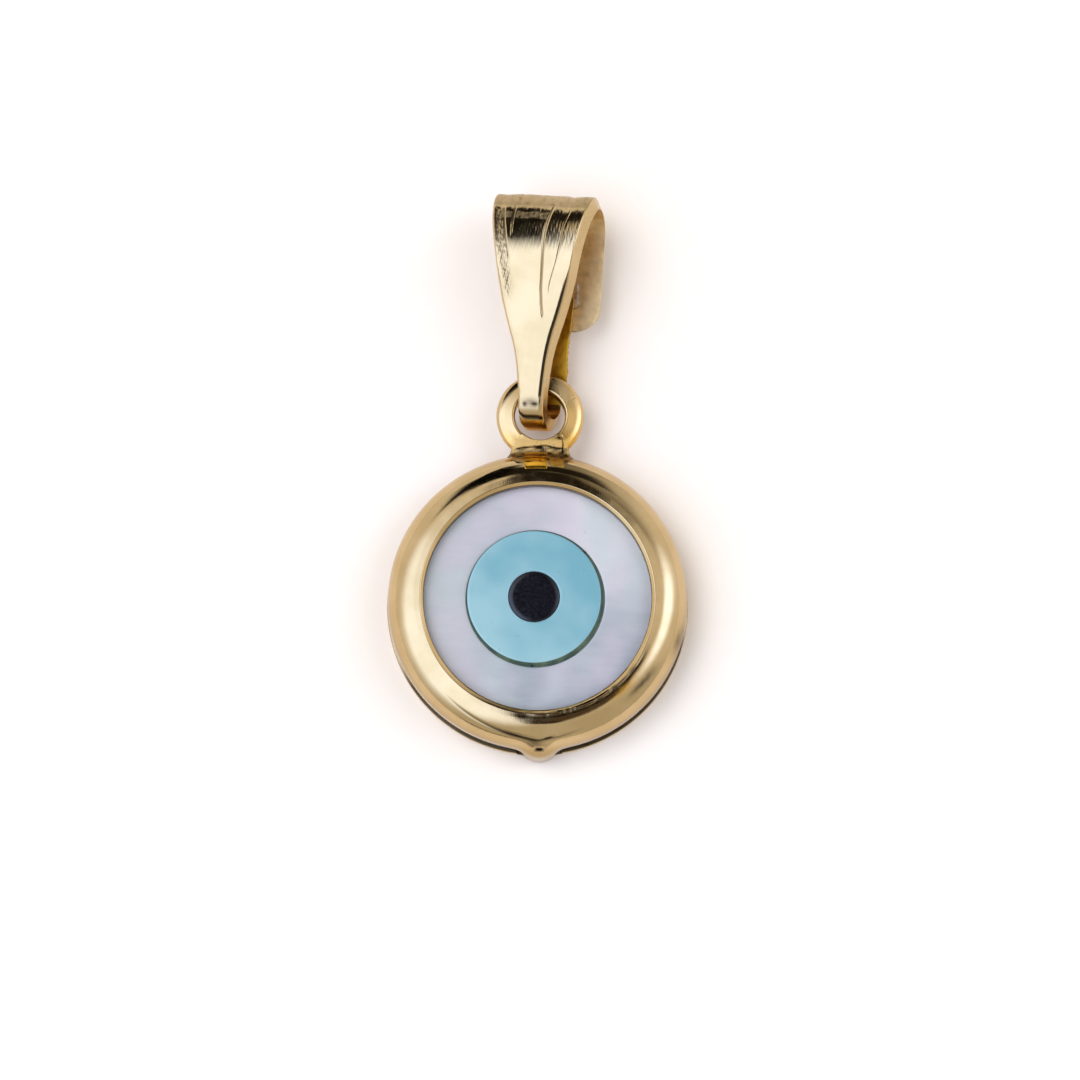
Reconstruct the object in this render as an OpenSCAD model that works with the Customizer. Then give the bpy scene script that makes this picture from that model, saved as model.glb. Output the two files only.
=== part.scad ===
// Evil eye pendant. A hollow puffed bezel and a shallow back plate close round
// a mother-of-pearl disc with an inlaid iris and pupil. An eyelet is soldered
// to the bezel's edge, and a tapered bail folded from one strip hangs in it.
// Lengths are millimetres and angles are degrees. The pendant lies on its back:
// +Y runs from the disc to the bail, +Z out of the face, and the origin is the
// middle of the back plate's outer face.

/* [Disc] */
// Diameter of the whole disc, over the back plate
disc_d = 12; // [11:0.1:14]
// Diameter of the stone that shows inside the bezel's lip
face_d = 9.2; // [8.6:0.1:9.8]
// Height of the bezel's crown above the back
crown_z = 2.55; // [2.4:0.05:3]
// Height of the stone's face above the back
face_z = 2; // [1.7:0.05:2.1]
// Thickness of the bezel's sheet
shell_t = 0.28; // [0.2:0.01:0.32]
// How far the back plate stands out past the bezel
seam_step = 0.06; // [0.03:0.01:0.15]
// Open seam between the back plate's rim and the bezel
seam_gap = 0.2; // [0.1:0.01:0.3]
// Thickness of the back plate's sheet
back_t = 0.3; // [0.2:0.01:0.4]
// Height of the back plate's turned-up rim
back_rim_z = 0.45; // [0.45:0.01:0.6]
// Height of the back plate's inner collar above the bezel's lower edge
collar_h = 0.3; // [0.2:0.01:0.4]
// Thickness of the back plate's inner collar
collar_t = 0.25; // [0.2:0.01:0.35]

/* [Bezel section] */
// Share of the bezel's width that lies between the lip and the crown
crown_share = 0.36; // [0.3:0.01:0.45]
// Drop from the crown to the lip
lip_drop = 0.3; // [0.2:0.01:0.4]
// Drop from the crown to the upright outer wall
shoulder_drop = 0.95; // [0.8:0.01:1.1]
// Radius of the back plate's outer edge
back_round = 0.3; // [0.2:0.01:0.4]

/* [Stones] */
// How far the pearl disc reaches under the bezel's lip
pearl_seat = 0.15; // [0.1:0.01:0.18]
// Diameter of the iris
iris_d = 5.44; // [4.8:0.02:6]
// Thickness of the iris
iris_t = 0.7; // [0.5:0.01:0.9]
// How far the iris stands out of the pearl disc
iris_raise = 0.13; // [0.05:0.01:0.2]
// Sideways place of the iris
iris_x = -0.09; // [-0.2:0.01:0.2]
// Lengthways place of the iris
iris_y = -0.04; // [-0.2:0.01:0.2]
// Diameter of the pupil
pupil_d = 2; // [1.6:0.02:2.6]
// Thickness of the pupil
pupil_t = 0.35; // [0.2:0.01:0.4]
// Sideways place of the pupil
pupil_x = -0.16; // [-0.3:0.01:0.3]
// Lengthways place of the pupil
pupil_y = 0.06; // [-0.3:0.01:0.3]
// Clearance between pieces that seat on each other
fit_gap = 0.04; // [0.02:0.005:0.05]

/* [Eyelet] */
// Outer diameter of the eyelet
eyelet_d = 3.48; // [3.2:0.02:3.8]
// Diameter of the eyelet's hole
eyelet_hole_d = 2; // [1.9:0.02:2.2]
// Thickness of the eyelet
eyelet_t = 0.68; // [0.6:0.01:0.72]
// Width of the bevel on the eyelet's four edges
eyelet_bevel = 0.12; // [0.05:0.01:0.15]
// Distance from the disc's edge to the middle of the eyelet
eyelet_out = 1.5; // [1.42:0.01:1.6]
// Sideways place of the eyelet
eyelet_x = 0.1; // [-0.2:0.01:0.2]
// Height of the eyelet's middle above the back
eyelet_z = 1.42; // [1.38:0.01:1.46]
// Width of the solder foot where it meets the bezel
foot_w = 2.5; // [2.2:0.05:2.8]
// Thickness of the solder foot
foot_t = 0.56; // [0.4:0.01:0.6]
// How far the solder foot climbs past the disc's edge
foot_out = 0.42; // [0.3:0.01:0.5]

/* [Beak] */
// Width of the beak at the disc's lower edge
beak_w = 1.3; // [1:0.05:1.6]
// How far the beak stands out past the disc's edge
beak_out = 0.3; // [0.2:0.01:0.4]
// Height of the beak's top above the back
beak_z = 1.15; // [1:0.05:1.4]
// Sideways place of the beak
beak_x = 0.08; // [-0.2:0.01:0.2]
// Diameter of the dimple in the beak
dimple_d = 0.2; // [0.1:0.01:0.24]

/* [Bail] */
// Length of the bail from its foot to its top
bail_l = 9.45; // [9:0.05:11]
// Width of the strip at the bail's top
bail_w = 4.34; // [4:0.02:5]
// Width of the strip at the bail's foot
bail_foot_w = 1.2; // [1:0.02:1.3]
// Depth of the bail's loop at the top, over the strip
bail_d = 3.4; // [3.2:0.05:3.8]
// Depth of the bail's loop at the foot, over the strip
bail_foot_d = 2.4; // [2.3:0.02:2.6]
// Thickness of the bail's strip
strip_t = 0.5; // [0.4:0.01:0.52]
// Width of the bevel along the strip's edges
strip_bevel = 0.13; // [0.08:0.01:0.16]
// Width of the wing behind the front leg
wing_w = 4.2; // [3.8:0.05:4.6]
// Height of the wing's lower end above the bail's foot
wing_z = 4.1; // [3.9:0.05:4.6]
// Radius of the wing's lower corners
wing_corner = 0.9; // [0.5:0.05:1.1]
// How far the wing stands to the right of the front leg
wing_shift = 0.1; // [0:0.02:0.2]
// Width of the narrow tail inside the wing
tail_w = 1.5; // [1.3:0.02:1.7]
// Height of the tail's upper end above the bail's foot
tail_z = 5.5; // [5.2:0.05:6]
// Radius of the tail's upper corners
tail_corner = 0.3; // [0.2:0.05:0.5]
// How far the tail leans to the right of the front leg
tail_shift = 0.5; // [0:0.02:0.54]
// Diameter of the solder bead that closes the loop
bead_d = 0.6; // [0.56:0.02:0.7]

/* [Bail as it lies] */
// Distance from the bail's foot to the middle of the eyelet's wire
hang = 1.9; // [1.85:0.01:2]
// Sideways place of the bail where it hangs in the eyelet
bail_x = 0; // [-0.1:0.01:0.1]
// Turn of the bail about its length, right edge up
roll = 12.5; // [10:0.5:14]
// Rise of the bail's top from the surface
pitch = 10; // [9:0.25:11]
// Lean of the bail's top to the right
yaw = 3; // [0:0.25:5]

/* [Hidden] */
$fn = 96;

disc_r = disc_d / 2;
face_r = face_d / 2;
bezel_r = disc_r - seam_step;
bezel_low = back_rim_z + seam_gap;
crown_r = face_r + crown_share * (bezel_r - face_r);
shoulder_w = bezel_r - crown_r;
shoulder_z = crown_z - shoulder_drop;
lip_w = crown_r - face_r;
lip_z = crown_z - lip_drop;
collar_r = bezel_r - shell_t - fit_gap;
pearl_r = face_r + pearl_seat;
pearl_z = back_t + fit_gap;
eyelet_r = eyelet_d / 2;
eyelet_hole_r = eyelet_hole_d / 2;
eyelet_y = disc_r + eyelet_out;
wire_y = eyelet_y + (eyelet_r + eyelet_hole_r) / 2;

// Overshoot of a cutting solid past the face that it cuts
cut = 0.5;
// Share of the bezel's sheet that a soldered root goes into
root_share = 0.8;

// Steps in a quarter of the bezel's section
section_steps = 8;
// Steps round the bail's bends, along its legs and round its corners
bend_steps = 18;
leg_steps = 14;
corner_steps = 5;

// Half depths of the bail's loop, to the middle of the strip
top_r = (bail_d - strip_t) / 2;
foot_r = (bail_foot_d - strip_t) / 2;
// Heights of the middles of the bail's two bends
top_c = bail_l - bail_d / 2;
foot_c = bail_foot_d / 2;
// Lean of the legs, tangent to both bends
leg_lean = asin((top_r - foot_r) / (top_c - foot_c));
// Heights at which the legs meet the bends
leg_top = top_c - top_r * sin(leg_lean);
leg_foot = foot_c - foot_r * sin(leg_lean);
// Distance from the wing's middle to the tail's middle where they touch
tuck = strip_t + fit_gap;
// How far below the wing's end the tail comes to lie along it
tuck_run = 0.3;
tuck_z = wing_z - tuck_run;

// Outline of the beak: share of its half width, share of its reach past the bezel
BEAK = [[1, -1], [0.96, 0.1], [0.56, 0.65], [0.34, 0.92], [0.1, 1]];

// Outline of the solder foot, by the same two shares
FOOT = [[1, -1], [1, 0], [0.88, 0.3], [0.82, 1]];

// How the front leg widens: share of the bail's length, share of the widening
TAPER = [
    [0, 0], [0.14, 0], [0.21, 0.04], [0.29, 0.1], [0.36, 0.19], [0.45, 0.36],
    [0.54, 0.51], [0.64, 0.64], [0.76, 0.76], [0.88, 0.89], [0.95, 0.97], [1, 1]
];

// How the tail leans: share of its height, share of the lean
LEAN = [[0, 0], [0.12, 0.3], [0.3, 0.7], [0.6, 0.8], [1, 1]];

// Points on a quarter of an ellipse round c, from angle a0 to angle a1
function quarter(c, rx, ry, a0, a1) = [
    for (i = [0 : section_steps])
        let (a = a0 + (a1 - a0) * i / section_steps)
            [c[0] + rx * cos(a), c[1] + ry * sin(a)]
];

// Both sides of an outline of shares, from the bezel's edge to its reach
function two_sided(rows, half, reach) = concat(
    [for (row = rows) [half * row[0], bezel_r + reach * row[1]]],
    [for (i = [len(rows) - 1 : -1 : 0]) [-half * rows[i][0], bezel_r + reach * rows[i][1]]]
);

// Half depth of a leg at a height, to the middle of the strip
function leg_depth(h) = lookup(h, [
    [leg_foot, foot_r * cos(leg_lean)], [leg_top, top_r * cos(leg_lean)]
]);

// Half width of the strip in the front leg and in the bends
function front_half(h) =
    (bail_foot_w + (bail_w - bail_foot_w) * lookup(h / bail_l, TAPER)) / 2;

// Half depth of the tail, which leaves the foot bend and lies along the wing
function tail_depth(h) = h > tuck_z
    ? leg_depth(h) - tuck
    : lookup(h, [[leg_foot, leg_depth(leg_foot)], [tuck_z, leg_depth(tuck_z) - tuck]]);

// What a round corner of radius r takes off the half width, e from the end
function corner_loss(e, r) = e < r ? r - sqrt(r * r - (r - e) * (r - e)) : 0;

// Heights from an end at z0 to z1, close together round the corner
function leg_heights(z0, r, z1) = concat(
    [for (i = [0 : corner_steps - 1]) z0 + r * (1 - cos(90 * i / corner_steps))],
    [for (i = [0 : leg_steps]) z0 + r + (z1 - z0 - r) * i / leg_steps]
);

wing_heights = leg_heights(wing_z, wing_corner, leg_top);
tail_heights = leg_heights(0, tail_corner, tail_z - leg_foot);

// Stations along the strip, from the wing's end to the tail's end. Each is
// [sideways, height, depth, half width], with the front leg at +depth.
wing_stations = [
    for (h = wing_heights)
        [wing_shift, h, -leg_depth(h), wing_w / 2 - corner_loss(h - wing_z, wing_corner)]
];
top_stations = [
    for (i = [1 : bend_steps - 1])
        let (
            share = i / bend_steps,
            a = 180 + leg_lean - (180 + 2 * leg_lean) * share,
            half = wing_w / 2 + (front_half(leg_top) - wing_w / 2) * share
        )
            [wing_shift * (1 - share), top_c + top_r * sin(a), top_r * cos(a), half]
];
front_stations = [
    for (i = [0 : leg_steps])
        let (h = leg_top + (leg_foot - leg_top) * i / leg_steps)
            [0, h, leg_depth(h), front_half(h)]
];
foot_stations = [
    for (i = [1 : bend_steps - 1])
        let (
            share = i / bend_steps,
            a = -leg_lean - (180 - 2 * leg_lean) * share
        )
            [0, foot_c + foot_r * sin(a), foot_r * cos(a), bail_foot_w / 2]
];
tail_stations = [
    for (i = [len(tail_heights) - 1 : -1 : 0])
        let (
            e = tail_heights[i],
            h = tail_z - e,
            share = (h - leg_foot) / (tail_z - leg_foot),
            widening = min(1, (h - leg_foot) / (tuck_z - leg_foot)),
            half = (bail_foot_w + (tail_w - bail_foot_w) * widening) / 2,
            lean = tail_shift * lookup(share, LEAN)
        )
            [lean, h, -tail_depth(h), half - corner_loss(e, tail_corner)]
];
stations = concat(
    wing_stations, top_stations, front_stations, foot_stations, tail_stations
);

// Direction across the strip's thickness at station i, in the loop's plane
function across(i) =
    let (
        a = stations[max(0, i - 1)],
        b = stations[min(len(stations) - 1, i + 1)],
        run = [b[1] - a[1], b[2] - a[2]]
    )
        [run[1], -run[0]] / norm(run);

// The strip's bevelled section, as [sideways, across] for a half width
function strip_section(half) =
    let (
        t = strip_t / 2,
        b = strip_bevel
    )
        [
            [half, t - b], [half - b, t], [-half + b, t], [-half, t - b],
            [-half, b - t], [-half + b, -t], [half - b, -t], [half, b - t]
        ];

strip_rings = [
    for (i = [0 : len(stations) - 1])
        let (s = stations[i], n = across(i))
            [for (p = strip_section(s[3])) [s[0] + p[0], s[1] + n[0] * p[1], s[2] + n[1] * p[1]]]
];

// A point of the bail after it is turned as it lies, about its place in the eyelet
function turned(p) =
    let (
        q = [p[0], p[1] - hang, p[2]],
        r = [q[0] * cos(roll) - q[2] * sin(roll), q[1], q[0] * sin(roll) + q[2] * cos(roll)]
    )
        [r[0], r[1] * cos(pitch) - r[2] * sin(pitch), r[1] * sin(pitch) + r[2] * cos(pitch)];

// Height of the bail's turning place, with its lowest point on the surface
rest_z = -min([for (ring = strip_rings) for (p = ring) turned(p)[2]]);

// A closed solid through rings of points, with flat ends
module loft(rings) {
    n = len(rings[0]);
    last = len(rings) - 1;
    points = [for (ring = rings) for (p = ring) p];
    sides = [
        for (i = [0 : last - 1])
            for (j = [0 : n - 1])
                let (k = (j + 1) % n)
                    for (side = [0, 1])
                        side == 0
                            ? [i * n + j, i * n + k, (i + 1) * n + j]
                            : [i * n + k, (i + 1) * n + k, (i + 1) * n + j]
    ];
    ends = [
        [for (j = [n - 1 : -1 : 0]) j],
        [for (j = [0 : n - 1]) last * n + j]
    ];
    polyhedron(points, concat(sides, ends), convexity = 6);
}

// Section of the bezel's bent sheet, as [radius, height]
module bezel_section() {
    shoulder = [crown_r, shoulder_z];
    polygon(concat(
        [[bezel_r, bezel_low]],
        quarter(shoulder, shoulder_w, shoulder_drop, 0, 90),
        quarter([crown_r, lip_z], lip_w, lip_drop, 90, 180),
        [[face_r, face_z + fit_gap], [face_r + shell_t, face_z + fit_gap]],
        [[face_r + shell_t, lip_z]],
        quarter(shoulder, shoulder_w - shell_t, shoulder_drop - shell_t, 90, 0),
        [[bezel_r - shell_t, bezel_low]]
    ));
}

// Flat ring with bevelled edges, about its own middle
module eyelet_ring() {
    r = eyelet_r;
    w = eyelet_hole_r;
    h = eyelet_t / 2;
    b = eyelet_bevel;
    rotate_extrude()
        polygon([
            [r, h - b], [r - b, h], [w + b, h], [w, h - b],
            [w, b - h], [w + b, -h], [r - b, -h], [r, b - h]
        ]);
}

// Room inside the bezel's wall, where soldered pieces end within the sheet
module root_cut() {
    cylinder(r = bezel_r - shell_t * root_share, h = crown_z * 2, center = true);
}

// Solder foot between the eyelet and the bezel's wall
module solder_foot() {
    difference() {
        translate([eyelet_x, 0, eyelet_z])
            linear_extrude(foot_t, center = true)
                polygon(two_sided(FOOT, foot_w / 2, foot_out + seam_step));
        root_cut();
    }
}

// Beak at the lower edge, turned down over the back plate's rim
module beak() {
    difference() {
        translate([beak_x, 0, fit_gap])
            mirror([0, 1, 0])
                linear_extrude(beak_z - fit_gap)
                    polygon(two_sided(BEAK, beak_w / 2, beak_out + seam_step));
        root_cut();
        translate([0, 0, -cut])
            cylinder(r = disc_r + fit_gap, h = cut + back_rim_z + fit_gap);
        translate([beak_x, -disc_r - dimple_d / 2, beak_z - dimple_d])
            cylinder(d = dimple_d, h = cut);
    }
}

module bezel() {
    color("gold") {
        rotate_extrude()
            bezel_section();
        translate([eyelet_x, eyelet_y, eyelet_z])
            eyelet_ring();
        solder_foot();
        beak();
    }
}

module back_plate() {
    r = disc_r;
    b = back_round;
    color("goldenrod")
        rotate_extrude()
            polygon(concat(
                [[0, 0]],
                quarter([r - b, b], b, b, -90, 0),
                [[r, back_rim_z], [collar_r, back_rim_z], [collar_r, bezel_low + collar_h]],
                [[collar_r - collar_t, bezel_low + collar_h], [collar_r - collar_t, back_t]],
                [[0, back_t]]
            ));
}

module pearl() {
    pocket_z = face_z + iris_raise - iris_t - fit_gap;
    color("lavender")
        difference() {
            translate([0, 0, pearl_z])
                cylinder(r = pearl_r, h = face_z - pearl_z);
            translate([iris_x, iris_y, pocket_z])
                cylinder(r = iris_d / 2 + fit_gap, h = iris_t + cut);
        }
}

module iris() {
    top_z = face_z + iris_raise;
    color("turquoise")
        difference() {
            translate([iris_x, iris_y, top_z - iris_t])
                cylinder(d = iris_d, h = iris_t);
            translate([pupil_x, pupil_y, top_z - pupil_t - fit_gap])
                cylinder(r = pupil_d / 2 + fit_gap, h = pupil_t + cut);
        }
}

module pupil() {
    color("black")
        translate([pupil_x, pupil_y, face_z + iris_raise - pupil_t])
            cylinder(d = pupil_d, h = pupil_t);
}

// Solder bead between the tail's upper end and the wing
module solder_bead() {
    h = tail_z - tail_corner;
    translate([tail_shift + tail_w / 2, h, -leg_depth(h) + tuck / 2])
        sphere(d = bead_d, $fn = 24);
}

module bail() {
    color("gold")
        translate([bail_x, wire_y, rest_z])
            rotate([pitch, 0, -yaw])
                rotate([0, -roll, 0])
                    translate([0, -hang, 0]) {
                        loft(strip_rings);
                        solder_bead();
                    }
}

bezel();
back_plate();
pearl();
iris();
pupil();
bail();
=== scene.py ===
"""Evil eye pendant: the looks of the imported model.

Shapes are worked out in millimetres in the model's own frame, with the pendant
lying on its back, +Y from the disc to the bail and +Z out of the face, and each
mesh is then made in metres.
"""

import math

import bpy
import numpy as np
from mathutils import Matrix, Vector


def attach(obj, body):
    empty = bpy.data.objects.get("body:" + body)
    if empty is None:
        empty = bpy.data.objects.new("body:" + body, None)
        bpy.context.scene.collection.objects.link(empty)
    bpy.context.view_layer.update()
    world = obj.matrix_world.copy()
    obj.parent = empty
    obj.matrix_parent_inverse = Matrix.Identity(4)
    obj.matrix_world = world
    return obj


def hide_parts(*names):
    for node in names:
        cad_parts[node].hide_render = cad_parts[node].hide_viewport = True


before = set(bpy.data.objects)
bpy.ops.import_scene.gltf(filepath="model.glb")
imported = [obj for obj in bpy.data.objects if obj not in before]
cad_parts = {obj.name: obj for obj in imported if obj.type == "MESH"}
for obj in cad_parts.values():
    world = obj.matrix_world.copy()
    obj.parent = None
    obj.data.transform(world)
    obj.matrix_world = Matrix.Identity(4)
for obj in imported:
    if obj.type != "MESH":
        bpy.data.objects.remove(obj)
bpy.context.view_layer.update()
MM = 0.001
TURN = 2 * math.pi


# Numbers

def ramp(a, b, x):
    """Smooth step from 0 at a to 1 at b."""
    t = np.clip((x - a) / (b - a), 0, 1)
    return t * t * (3 - 2 * t)


def bell(x, middle, width):
    """Smooth bump of height 1 round middle."""
    return np.exp(-(((x - middle) / width) ** 2))


def span(x, start, full, last, end):
    """1 between full and last, falling smoothly to 0 at start and end."""
    return ramp(start, full, x) * ramp(end, last, x)


def above(value, level):
    """How far a value rises over a level, 1 at most."""
    return np.clip(value - level, 0, 1)


def eased(rows, x, soft):
    """Value of a table at x, with its corners rounded over the length soft."""
    rows = np.array(rows, float)
    offsets = np.linspace(-1, 1, 9)
    weights = 1 - np.abs(offsets) * 0.9
    return sum(
        w * np.interp(x + o * soft, rows[:, 0], rows[:, 1])
        for o, w in zip(offsets, weights)
    ) / weights.sum()


def ripple(p, size, seed, count=7):
    """Smooth unevenness of about -1 to 1, with waves of about size mm."""
    rng = np.random.default_rng(seed)
    total = 0
    for _ in range(count):
        way = rng.normal(size=3)
        way *= rng.uniform(0.6, 1.6) * TURN / size / np.linalg.norm(way)
        phase = rng.uniform(0, 6.28)
        total += np.sin(p[..., 0] * way[0] + p[..., 1] * way[1] + p[..., 2] * way[2] + phase)
    return total / math.sqrt(count)


def streaks(x, h, size_x, size_h, seed, count=9):
    """Unevenness of about -1 to 1 that is drawn out along the strip."""
    rng = np.random.default_rng(seed)
    total = 0
    for _ in range(count):
        kx, kh, phase = rng.normal() / size_x, rng.normal() / size_h, rng.uniform(0, 6.28)
        total += np.sin(TURN * (kx * x + kh * h) + phase)
    return total / math.sqrt(count)


def turned(a, b, angle):
    """The two parts of a place, turned through an angle."""
    c, s = math.cos(angle), math.sin(angle)
    return a * c - b * s, a * s + b * c


def polar(r, angle, z):
    """Points at a radius, angle and height."""
    return np.stack([r * np.cos(angle), r * np.sin(angle), z + 0 * angle], -1)


def arc(centre, rx, rz, a0, a1, count):
    """Points [radius, height] of a stretch of an ellipse, from a0 to a1 degrees."""
    angles = np.radians(np.linspace(a0, a1, count))
    return [[centre[0] + rx * math.cos(a), centre[1] + rz * math.sin(a)] for a in angles]


# Meshes

def linked(name, data):
    """A new object in the scene."""
    thing = bpy.data.objects.new(name, data)
    bpy.context.scene.collection.objects.link(thing)
    return thing


def new_mesh(name, points, faces, materials, fields=None, face_material=None):
    """A smooth piece from points in mm, with fields of paint from 0 to 1 on its points."""
    mesh = bpy.data.meshes.new(name)
    mesh.from_pydata((np.reshape(points, (-1, 3)) * MM).tolist(), [], [list(map(int, f)) for f in faces])
    mesh.polygons.foreach_set("use_smooth", [True] * len(mesh.polygons))
    for key, values in (fields or {}).items():
        layer = mesh.attributes.new(key, "FLOAT", "POINT")
        layer.data.foreach_set("value", np.clip(values, 0, 1).ravel())
    for material in materials:
        mesh.materials.append(material)
    if face_material is not None:
        mesh.polygons.foreach_set("material_index", face_material)
    mesh.update()
    return linked(name, mesh)


def grid_faces(points, rows_closed, columns_closed):
    """Quads of points that stand as [row, column, xyz]."""
    rows, columns = points.shape[:2]
    i = np.arange(rows if rows_closed else rows - 1)
    j = np.arange(columns if columns_closed else columns - 1)
    i, j = (a.ravel() for a in np.meshgrid(i, j, indexing="ij"))
    i2, j2 = (i + 1) % rows, (j + 1) % columns
    return np.stack([i * columns + j, i * columns + j2, i2 * columns + j2, i2 * columns + j], 1)


def turned_section(section, angles):
    """Points of a section of [radius, height] turned through the angles, as [angle, point, xyz]."""
    r, z = np.array(section, float).T
    return polar(r, angles[:, None], z)


def settle(points, field, step):
    """Move points onto the surface where field(p) is 0, by half a step at most."""
    nudge = 0.001
    for _ in range(3):
        slope = np.stack(
            [(field(points + d) - field(points - d)) / (2 * nudge) for d in np.eye(3) * nudge], -1
        )
        move = field(points)[:, None] * slope / np.maximum((slope**2).sum(1), 0.2)[:, None]
        points = points - np.clip(move, -step / 2, step / 2)
    return points


def isosurface(field, low, high, step):
    """Points and quads of the surface where field(p) is 0, inside being below 0."""
    axes = [np.arange(low[k], high[k] + step, step) for k in range(3)]
    corner = np.stack(np.meshgrid(*axes, indexing="ij"), -1)
    f = field(corner)
    inside = f < 0
    cells = tuple(n - 1 for n in f.shape)

    def part(a, shift):
        return a[tuple(slice(s, s + c) for s, c in zip(shift, cells))]

    # Each cell that the surface crosses gets a point, the mean of its crossed edges
    total, count = np.zeros(cells + (3,)), np.zeros(cells)
    for axis in range(3):
        for u, v in ((0, 0), (0, 1), (1, 0), (1, 1)):
            start = np.insert([u, v], axis, 0)
            f0, f1 = part(f, start), part(f, start + np.eye(3, dtype=int)[axis])
            cross = (f0 < 0) != (f1 < 0)
            share = np.where(cross, f0 / np.where(cross, f0 - f1, 1), 0)
            point = part(corner, start).copy()
            point[..., axis] += share * step
            total += np.where(cross[..., None], point, 0)
            count += cross
    used = count > 0
    number = np.full(cells, -1)
    number[used] = np.arange(used.sum())
    points = settle(total[used] / count[used][:, None], field, step)

    # Each crossed edge gets a quad of the four cells round it
    quads = []
    for axis in range(3):
        one, two = (axis + 1) % 3, (axis + 2) % 3
        a = [slice(1, c) for c in cells]
        b = list(a)
        a[axis], b[axis] = slice(0, cells[axis]), slice(1, cells[axis] + 1)
        below = inside[tuple(a)]
        cell = np.argwhere(below != inside[tuple(b)])
        outward = below[tuple(cell.T)]
        ring = []
        for step_to in ((0, 0), (1, 0), (1, 1), (0, 1)):
            c = cell.copy()
            c[:, [one, two]] += step_to
            ring.append(number[tuple(c.T)])
        ring = np.stack(ring, 1)
        quads.append(np.where(outward[:, None], ring, ring[:, ::-1]))
    return points, np.concatenate(quads)


def smooth_union(a, b, size):
    """Union of two fields with a fillet of about size mm."""
    h = np.clip(0.5 + 0.5 * (b - a) / size, 0, 1)
    return b + (a - b) * h - size * h * (1 - h)


def rounded(past, radius):
    """Distance to a rounded box, from the distances past its faces."""
    q = past + radius
    return np.linalg.norm(np.maximum(q, 0), axis=-1) + np.minimum(q.max(-1), 0) - radius


# Materials

class Graph:
    """Short calls for building a node tree. A value is a number, a colour or a socket."""

    def __init__(self, owner):
        owner.use_nodes = True
        self.tree = owner.node_tree
        self.tree.nodes.clear()

    def add(self, kind, inputs=None, **settings):
        node = self.tree.nodes.new(kind)
        for key, value in settings.items():
            setattr(node, key, value)
        for key, value in (inputs or {}).items():
            self.put(value, node.inputs[key])
        return node

    def put(self, value, socket):
        if isinstance(value, bpy.types.NodeSocket):
            self.tree.links.new(value, socket)
        else:
            socket.default_value = (*value, 1) if socket.type == "RGBA" else value

    def math(self, operation, *values):
        return self.add("ShaderNodeMath", dict(enumerate(values)), operation=operation).outputs[0]

    def times(self, *values):
        total = values[0]
        for value in values[1:]:
            total = self.math("MULTIPLY", total, value)
        return total

    def step(self, value, a, b, low=0.0, high=1.0):
        """Smooth change from low at a to high at b."""
        inputs = dict(enumerate((value, a, b, low, high)))
        return self.add("ShaderNodeMapRange", inputs, interpolation_type="SMOOTHSTEP").outputs[0]

    def mix(self, share, a, b):
        """Colour a, or colour b where share is 1."""
        return self.add("ShaderNodeMix", {0: share, 6: a, 7: b}, data_type="RGBA").outputs[2]

    def noise(self, where, size, detail=4.0, rough=0.55, stretch=(1, 1, 1), turn=(0, 0, 0)):
        """Noise with features of about size mm, longer along an axis by its stretch."""
        scale = [1 / (MM * size * s) for s in stretch]
        place = self.add("ShaderNodeMapping", {"Vector": where, "Rotation": turn, "Scale": scale})
        inputs = {"Vector": place.outputs[0], "Scale": 1, "Detail": detail, "Roughness": rough}
        return self.add("ShaderNodeTexNoise", inputs).outputs[0]

    def parts(self, vector):
        return self.add("ShaderNodeSeparateXYZ", {"Vector": vector}).outputs

    def bump(self, height, strength, depth):
        """Normal of a relief that is depth mm deep at full strength."""
        inputs = {"Height": height, "Strength": strength, "Distance": depth * MM}
        return self.add("ShaderNodeBump", inputs).outputs[0]

    def surface(self, inputs):
        """End the material in a principled shader with these inputs."""
        shader = self.add("ShaderNodeBsdfPrincipled", inputs)
        self.add("ShaderNodeOutputMaterial", {"Surface": shader.outputs[0]})


def blank_material(name):
    """A new material, its graph and the place on the piece in metres."""
    material = bpy.data.materials.new(name)
    g = Graph(material)
    return material, g, g.add("ShaderNodeTexCoord").outputs["Object"]


GOLD_LIGHT, GOLD_DEEP = (0.61, 0.445, 0.232), (0.545, 0.39, 0.19)
# The warm tone paints the orange of light bounced between gold parts, and the darkest tone paints grime and
# shade
WARM_TONE, PALE_TONE, DIRT_AND_SHADE_TONE = (0.84, 0.42, 0.02), (0.95, 0.72, 0.38), (0.014, 0.008, 0.004)
SCRATCH_DEPTH = 0.02


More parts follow.
